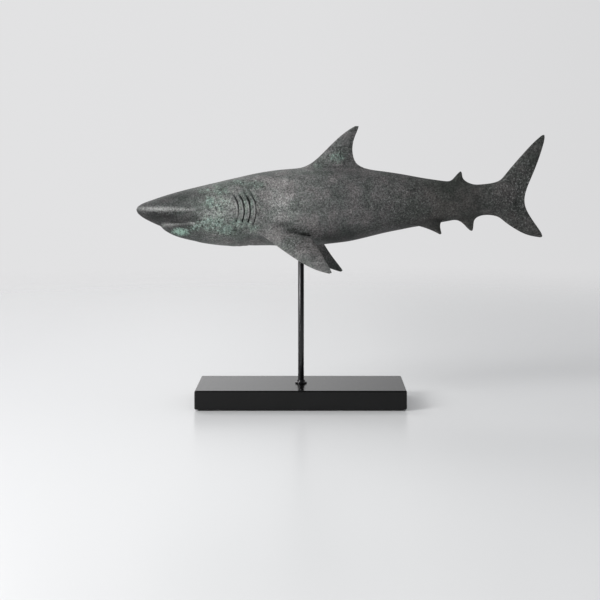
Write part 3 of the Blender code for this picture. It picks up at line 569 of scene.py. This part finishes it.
# %% Verdigris blotches
BLOTCHES = (
    ((-163, 233), (16, 7), 1.55), ((-119, 245), (30, 17), 0.90), ((-100, 238), (26, 12), 0.90),
    ((-140, 240), (18, 9), 0.90), ((-121, 274), (12, 11), 1.00), ((-106, 270), (22, 18), 0.74),
    ((-128, 288), (24, 8), 0.70), ((-108, 288), (20, 12), 0.72), ((-70, 270), (26, 26), 0.72),
    ((-58, 297), (20, 9), 0.76), ((-84, 300), (22, 7), 0.70), ((49, 334), (18, 12), 0.86),
    ((24, 322), (14, 9), 0.60), ((-82, 246), (26, 16), 0.74), ((-62, 240), (20, 10), 0.62),
    ((302, 304), (22, 26), 0.55), ((120, 270), (40, 20), 0.36),
)
green = widest(tree, [ellipse(tree, coords, *patch) for patch in BLOTCHES])
crust = add_node(tree, "ShaderNodeTexNoise",
                 {"Vector": coords, "Scale": millimetres(9), "Detail": 5.0, "Roughness": 0.7})
specks = add_node(tree, "ShaderNodeTexNoise",
                  {"Vector": coords, "Scale": millimetres(2.8), "Detail": 2.0, "Roughness": 0.7})
eaten = add_node(tree, "ShaderNodeMath", {0: crust.outputs[0], 1: specks.outputs[0]},
                 operation="ADD").outputs[0]
eaten = add_node(tree, "ShaderNodeMath", {0: eaten, 1: green}, operation="ADD").outputs[0]
stain = add_node(tree, "ShaderNodeMapRange", {0: eaten, 1: 1.42, 2: 1.72, 3: 0.0, 4: 0.80}).outputs[0]
stained = add_node(tree, "ShaderNodeMix", {0: stain, 6: grained, 7: (0.97, 1.12, 1.02, 1)},
                   data_type="RGBA", blend_type="MULTIPLY").outputs[2]
verdigris = add_node(tree, "ShaderNodeMapRange", {0: eaten, 1: 1.72, 2: 1.90, 3: 0.0, 4: 0.90}).outputs[0]
copper = add_node(tree, "ShaderNodeValToRGB", {0: specks.outputs[0]},
                  stops=[(0.38, "#3b4541"), (0.50, "#687870"), (0.66, "#97a9a1")]).outputs[0]
thick = add_node(tree, "ShaderNodeMapRange", {0: green, 1: 0.92, 2: 1.40, 3: 0.0, 4: 0.75}).outputs[0]
copper = add_node(tree, "ShaderNodeMix", {0: thick, 6: copper, 7: linear("#9dbbac")},
                  data_type="RGBA").outputs[2]
with_green = add_node(tree, "ShaderNodeMix", {0: verdigris, 6: stained, 7: copper},
                      data_type="RGBA").outputs[2]
pits = add_node(tree, "ShaderNodeTexNoise",
                {"Vector": coords, "Scale": millimetres(4), "Detail": 3.0, "Roughness": 0.75})
pit = add_node(tree, "ShaderNodeMapRange",
               {0: pits.outputs[0], 1: 0.54, 2: 0.62, 3: 0.0, 4: 0.92}).outputs[0]
crusted = add_node(tree, "ShaderNodeMapRange", {0: green, 1: 0.1, 2: 0.6}).outputs[0]
pit = add_node(tree, "ShaderNodeMath", {0: pit, 1: crusted}, operation="MULTIPLY").outputs[0]
with_green = add_node(tree, "ShaderNodeMix", {0: pit, 6: with_green, 7: linear("#222523")},
                      data_type="RGBA").outputs[2]
print("blotches:", len(BLOTCHES))

# %% [markdown]
# ## Flecks, rubbed edges and hollows
# Pale flecks lie where the brush skipped, most of them on the shoulder, the cheek and the tail. The fronts
# of the fins are rubbed pale, and the slits keep the darkest wax. The fin fronts and the slits come from
# the measure stored on the points. The ridge along the snout is too blunt to show in it, so two thin
# ellipses draw its pale line, which is partly rubbed wear and partly a painted highlight where the ridge
# catches the light.

# %% Flecks, edges and hollows
# The ridge's pale line is partly rubbed wear and partly a painted highlight.
RIDGE_HIGHLIGHT = (((-188, 264), (36, 3.2), 1.0), ((-160, 264), (20, 2.6), 0.7))
flecks = add_node(tree, "ShaderNodeTexNoise",
                  {"Vector": coords, "Scale": millimetres(2.6), "Detail": 2.0, "Roughness": 0.85})
fleck = add_node(tree, "ShaderNodeMapRange", {0: flecks.outputs[0], 1: 0.54, 2: 0.68}).outputs[0]
fleck = add_node(tree, "ShaderNodeMath", {0: fleck, 1: skipped}, operation="MULTIPLY").outputs[0]
flecked = add_node(tree, "ShaderNodeMix", {0: fleck, 6: with_green, 7: linear("#b0b1b0")},
                   data_type="RGBA").outputs[2]
measure = add_node(tree, "ShaderNodeAttribute", attribute_name="hollow").outputs["Fac"]
edge = add_node(tree, "ShaderNodeMapRange", {0: measure, 1: -0.05, 2: -0.16, 3: 0.0, 4: 0.85}).outputs[0]
# The worn edges and the ridge's painted highlight are joined here.
edge = widest(tree, [edge] + [ellipse(tree, coords, *patch, hardness=0.0) for patch in RIDGE_HIGHLIGHT])
broken = add_node(tree, "ShaderNodeMapRange",
                  {0: grain.outputs[0], 1: 0.36, 2: 0.56, 3: 0.15, 4: 0.95}).outputs[0]
edge = add_node(tree, "ShaderNodeMath", {0: edge, 1: broken}, operation="MULTIPLY").outputs[0]
rubbed_and_highlit = add_node(tree, "ShaderNodeMix", {0: edge, 6: flecked, 7: linear("#b3b4b1")},
                  data_type="RGBA").outputs[2]
hollow_mask = add_node(tree, "ShaderNodeMapRange", {0: measure, 1: 0.016, 2: 0.055}).outputs[0]
coloured = add_node(tree, "ShaderNodeMix", {0: hollow_mask, 6: rubbed_and_highlit, 7: linear("#101110")},
                    data_type="RGBA").outputs[2]
tree.links.new(coloured, shader.inputs["Base Color"])
print("patina nodes:", len(tree.nodes))

# %% Sheen and tooth of the surface
sheen = add_node(tree, "ShaderNodeMapRange",
                 {0: mottle.outputs[0], 1: 0.3, 2: 0.7, 3: 0.50, 4: 0.70}).outputs[0]
tree.links.new(sheen, shader.inputs["Roughness"])
shader.inputs["Specular IOR Level"].default_value = 0.26
height = add_node(tree, "ShaderNodeMath", {0: grain.outputs[0], 1: mottle.outputs[0]},
                  operation="ADD").outputs[0]
bump = add_node(tree, "ShaderNodeBump", {"Strength": 0.6, "Distance": 0.0008, "Height": height}).outputs[0]
tree.links.new(bump, shader.inputs["Normal"])
shark.data.materials.append(patina)
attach(shark, "root")
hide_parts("shark")
print("patina on", shark.name)

# %% [markdown]
# ## The rod
# The rod is 8 mm drawn steel bar, painted satin black. Its solid has 32 flat sides, which show as
# strips in a close view, so it is made again: one finer cylinder at the solid's own size, with the
# small chamfer that a lathe leaves on each end.

# %% Rod
def start_piece(name):
    """Name the primitive just added, and put its place and scale into its mesh."""
    piece = bpy.context.object
    piece.name = name
    bpy.ops.object.transform_apply(location=True, rotation=True, scale=True)
    return piece


def apply_modifiers(piece):
    """Apply all modifiers of the active piece, in order."""
    for modifier in list(piece.modifiers):
        bpy.ops.object.modifier_apply(modifier=modifier.name)


ROD_RADIUS = 0.004
rod_low, rod_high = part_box("support_rod")
bpy.ops.object.select_all(action="DESELECT")
bpy.ops.mesh.primitive_cylinder_add(vertices=96, radius=ROD_RADIUS, depth=rod_high[2] - rod_low[2],
                                    location=(0, 0, (rod_high[2] + rod_low[2]) / 2))
rod = start_piece("painted_rod")
chamfer = rod.modifiers.new("chamfer", "BEVEL")
chamfer.width = 0.0008
chamfer.segments = 2
chamfer.angle_limit = math.radians(60)
apply_modifiers(rod)
bpy.ops.object.shade_smooth_by_angle(angle=math.radians(35))
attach(rod, "root")
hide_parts("support_rod")
print("rod:", round((rod_high[2] - rod_low[2]) * 1000, 1), "mm long")

# %% [markdown]
# ## The collar
# Where the rod enters the plinth a turned collar hides the edge of the hole: a thin round flange
# with a short sleeve on it. It could be spun from a profile. Extruding a ring of edges outward, up
# and in again does the same, and shows each shoulder as it is made. Every ring stays 0.3 mm clear
# of the rod.

# %% Collar
collar_low, collar_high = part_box("rod_collar")
foot, crown = collar_low[2], collar_high[2]
INNER = 0.0043
STEPS = (
    (0.0080, foot), (0.0080, foot + 0.0015), (0.0060, foot + 0.0018), (0.0054, foot + 0.0024),
    (0.0054, crown), (INNER, crown), (INNER, foot),
)
bpy.ops.object.select_all(action="DESELECT")
bpy.ops.mesh.primitive_circle_add(vertices=96, radius=INNER, location=(0, 0, foot))
collar = start_piece("turned_collar")
bpy.ops.object.mode_set(mode="EDIT")
bpy.ops.mesh.select_all(action="SELECT")
radius, height = INNER, foot
for next_radius, next_height in STEPS:
    bpy.ops.mesh.extrude_edges_move(TRANSFORM_OT_translate={"value": (0, 0, next_height - height)})
    share = next_radius / radius
    bpy.ops.transform.resize(value=(share, share, 1), center_override=(0, 0, next_height))
    radius, height = next_radius, next_height
bpy.ops.mesh.select_all(action="SELECT")
bpy.ops.mesh.remove_doubles(threshold=0.00001)
bpy.ops.mesh.normals_make_consistent(inside=False)
bpy.ops.object.mode_set(mode="OBJECT")
soften = collar.modifiers.new("soften", "BEVEL")
soften.width = 0.00025
soften.segments = 3
soften.angle_limit = math.radians(50)
apply_modifiers(collar)
bpy.ops.object.shade_smooth_by_angle(angle=math.radians(50))
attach(collar, "root")
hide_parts("rod_collar")
print("collar faces:", len(collar.data.polygons))

# %% [markdown]
# ## Black paint on steel
# Sprayed enamel on bar stock dries to a satin skin with a faint orange peel about a millimetre
# across. It is almost black, so what the eye sees is the window's long pale streak, a little broken
# by the peel.

# %% Rod and collar paint
enamel, tree, shader, coords = new_material("satin_black_enamel_on_steel")
peel = add_node(tree, "ShaderNodeTexNoise",
                {"Vector": coords, "Scale": millimetres(1.2), "Detail": 2.0}).outputs[0]
dust = add_node(tree, "ShaderNodeTexNoise",
                {"Vector": coords, "Scale": millimetres(9), "Detail": 4.0}).outputs[0]
paint = add_node(tree, "ShaderNodeValToRGB", {0: dust},
                 stops=[(0.35, "#0d0d0e"), (0.7, "#17171a")]).outputs[0]
tree.links.new(paint, shader.inputs["Base Color"])
gloss = add_node(tree, "ShaderNodeMapRange", {0: dust, 1: 0.3, 2: 0.7, 3: 0.14, 4: 0.22}).outputs[0]
tree.links.new(gloss, shader.inputs["Roughness"])
bump = add_node(tree, "ShaderNodeBump", {"Strength": 0.25, "Distance": 0.0001, "Height": peel}).outputs[0]
tree.links.new(bump, shader.inputs["Normal"])
for piece in (rod, collar):
    piece.data.materials.append(enamel)
print("enamel on", rod.name, "and", collar.name)

# %% [markdown]
# ## The plinth
# The plinth is a block of medium-density fibreboard, sanded, sprayed black and polished. Its edges
# are rounded over by about 2 mm, and those rounds catch a thin pale line at the front of the top.
# Its solid has three flats on each edge, so the block is made again with finer rounds: a cube at
# the solid's size, bevelled, then bored right through for the rod and wider from below for the nut.

# %% Plinth block
low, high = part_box("base")
bpy.ops.object.select_all(action="DESELECT")
bpy.ops.mesh.primitive_cube_add(size=1, location=[(a + b) / 2 for a, b in zip(low, high)],
                                scale=[b - a for a, b in zip(low, high)])
plinth = start_piece("lacquered_plinth")
round_over = plinth.modifiers.new("round_over", "BEVEL")
round_over.width = 0.002
round_over.segments = 5
apply_modifiers(plinth)
print("plinth:", [round((b - a) * 1000, 1) for a, b in zip(low, high)], "mm")

# %% Bore the plinth
ROD_HOLE = 0.0043
NUT_HOLE = 0.011
NUT_HOLE_DEPTH = 0.012
PAST_FACE = 0.01
for radius, bottom, top in ((ROD_HOLE, low[2] - PAST_FACE, high[2] + PAST_FACE),
                            (NUT_HOLE, low[2] - PAST_FACE, low[2] + NUT_HOLE_DEPTH)):
    bpy.ops.object.select_all(action="DESELECT")
    bpy.ops.mesh.primitive_cylinder_add(vertices=64, radius=radius, depth=top - bottom,
                                        location=(0, 0, (top + bottom) / 2))
    drill = bpy.context.object
    bpy.context.view_layer.objects.active = plinth
    hole = plinth.modifiers.new("hole", "BOOLEAN")
    hole.operation = "DIFFERENCE"
    hole.solver = "EXACT"
    hole.object = drill
    bpy.ops.object.modifier_apply(modifier="hole")
    bpy.data.objects.remove(drill, do_unlink=True)
plinth.select_set(True)
bpy.ops.object.shade_smooth_by_angle(angle=math.radians(40))
even = plinth.modifiers.new("even_normals", "WEIGHTED_NORMAL")
even.keep_sharp = True
apply_modifiers(plinth)
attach(plinth, "root")
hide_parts("base")
print("plinth faces after boring:", len(plinth.data.polygons))

# %% [markdown]
# ## Black lacquer
# Sprayed lacquer on fibreboard is a smooth black film. Seen at a low angle it mirrors the wall, so
# the top looks grey and the rod stands on a soft image of itself, while the front stays black. The
# mirror isn't perfect: hand polishing leaves it slightly blurred, with a very shallow waviness a
# few centimetres across, and dust shows as faint duller spots.

# %% Lacquer
lacquer, tree, shader, coords = new_material("black_lacquer_on_fibreboard")
wave = add_node(tree, "ShaderNodeTexNoise",
                {"Vector": coords, "Scale": millimetres(30), "Detail": 1.0}).outputs[0]
specks = add_node(tree, "ShaderNodeTexNoise",
                  {"Vector": coords, "Scale": millimetres(3), "Detail": 3.0}).outputs[0]
film = add_node(tree, "ShaderNodeValToRGB", {0: wave},
                stops=[(0.3, "#050505"), (0.7, "#09090a")]).outputs[0]
tree.links.new(film, shader.inputs["Base Color"])
blur = add_node(tree, "ShaderNodeMapRange", {0: specks, 1: 0.4, 2: 0.75, 3: 0.17, 4: 0.24}).outputs[0]
tree.links.new(blur, shader.inputs["Roughness"])
bump = add_node(tree, "ShaderNodeBump", {"Strength": 0.1, "Distance": 0.0002, "Height": wave}).outputs[0]
tree.links.new(bump, shader.inputs["Normal"])
shader.inputs["IOR"].default_value = 1.5
shader.inputs["Specular IOR Level"].default_value = 0.32
plinth.data.materials.append(lacquer)
print("lacquer on", plinth.name)

# %% [markdown]
# ## Felt
# Thin felt is glued under the plinth so that it doesn't scratch the shelf. It is pressed from loose
# fibre, so it has no weave, only a fuzz about half a millimetre long and a soft edge. It lies flat,
# so it needs no cloth simulation: a cut sheet with rounded corners and a slightly swollen edge.

# %% Felt sheet
low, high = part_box("felt_sheet")
bpy.ops.object.select_all(action="DESELECT")
bpy.ops.mesh.primitive_cube_add(size=1, location=[(a + b) / 2 for a, b in zip(low, high)],
                                scale=[b - a for a, b in zip(low, high)])
UPRIGHT = 0.001
felt = start_piece("glued_felt")
bpy.ops.object.mode_set(mode="EDIT")
bpy.ops.mesh.select_mode(type="EDGE")
bpy.ops.mesh.select_all(action="DESELECT")
bpy.ops.object.mode_set(mode="OBJECT")
for edge in felt.data.edges:
    start, end = (felt.data.vertices[i].co for i in edge.vertices)
    edge.select = abs(start.z - end.z) > UPRIGHT
bpy.ops.object.mode_set(mode="EDIT")
bpy.ops.mesh.bevel(offset=0.003, segments=8)
bpy.ops.object.mode_set(mode="OBJECT")
edge_round = felt.modifiers.new("edge_round", "BEVEL")
edge_round.width = 0.0004
edge_round.segments = 2
edge_round.angle_limit = math.radians(60)
apply_modifiers(felt)
bpy.ops.object.shade_smooth_by_angle(angle=math.radians(40))
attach(felt, "root")
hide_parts("felt_sheet")
print("felt:", [round((b - a) * 1000, 1) for a, b in zip(low, high)], "mm")

# %% Felt finish
fuzz_black, tree, shader, coords = new_material("pressed_black_felt")
fibre = add_node(tree, "ShaderNodeTexNoise",
                 {"Vector": coords, "Scale": millimetres(0.5), "Detail": 5.0,
                  "Roughness": 0.8}).outputs[0]
clump = add_node(tree, "ShaderNodeTexNoise",
                 {"Vector": coords, "Scale": millimetres(4), "Detail": 3.0}).outputs[0]
mix = add_node(tree, "ShaderNodeMath", {0: fibre, 1: clump}, operation="MULTIPLY").outputs[0]
wool = add_node(tree, "ShaderNodeValToRGB", {0: mix},
                stops=[(0.1, "#0e0e0f"), (0.45, "#26262a")]).outputs[0]
tree.links.new(wool, shader.inputs["Base Color"])
shader.inputs["Roughness"].default_value = 0.95
shader.inputs["Sheen Weight"].default_value = 0.3
shader.inputs["Sheen Roughness"].default_value = 0.6
bump = add_node(tree, "ShaderNodeBump", {"Strength": 0.8, "Distance": 0.0004, "Height": fibre}).outputs[0]
tree.links.new(bump, shader.inputs["Normal"])
felt.data.materials.append(fuzz_black)
print("felt finish done")

# %% [markdown]
# ## Fixings
# The washer and the nut sit in the plinth's recess, under the felt, and the brass bush is cast into
# the belly. Their solids are right as they are, so they only get a finish: bright zinc plate with
# a faint crystal mottle, and brass with the faint rings of the lathe, about 2.5 mm apart.

# %% Zinc plate and brass
zinc, tree, shader, coords = new_material("bright_zinc_plate_on_steel")
spangle = add_node(tree, "ShaderNodeTexVoronoi",
                   {"Vector": coords, "Scale": millimetres(1.5)}).outputs["Distance"]
plate = add_node(tree, "ShaderNodeValToRGB", {0: spangle},
                 stops=[(0.0, "#b3b6ba"), (0.6, "#c9ccd0")]).outputs[0]
tree.links.new(plate, shader.inputs["Base Color"])
shader.inputs["Metallic"].default_value = 1.0
dull = add_node(tree, "ShaderNodeMapRange", {0: spangle, 1: 0.0, 2: 0.7, 3: 0.28, 4: 0.42}).outputs[0]
tree.links.new(dull, shader.inputs["Roughness"])
RING_SCALE = 125.0
brass, tree, shader, coords = new_material("turned_brass")
rings = add_node(tree, "ShaderNodeTexWave",
                 {"Vector": coords, "Scale": RING_SCALE, "Distortion": 0.4},
                 wave_type="BANDS", bands_direction="Z").outputs[0]
yellow = add_node(tree, "ShaderNodeValToRGB", {0: rings},
                  stops=[(0.0, "#b08d45"), (1.0, "#c7a55c")]).outputs[0]
tree.links.new(yellow, shader.inputs["Base Color"])
shader.inputs["Metallic"].default_value = 1.0
shader.inputs["Roughness"].default_value = 0.32
bump = add_node(tree, "ShaderNodeBump", {"Strength": 0.3, "Distance": 0.00005, "Height": rings}).outputs[0]
tree.links.new(bump, shader.inputs["Normal"])
for node, finish in (("washer", zinc), ("retaining_nut", zinc), ("threaded_insert", brass)):
    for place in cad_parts[node].material_slots:
        place.material = finish
print("fixings finished")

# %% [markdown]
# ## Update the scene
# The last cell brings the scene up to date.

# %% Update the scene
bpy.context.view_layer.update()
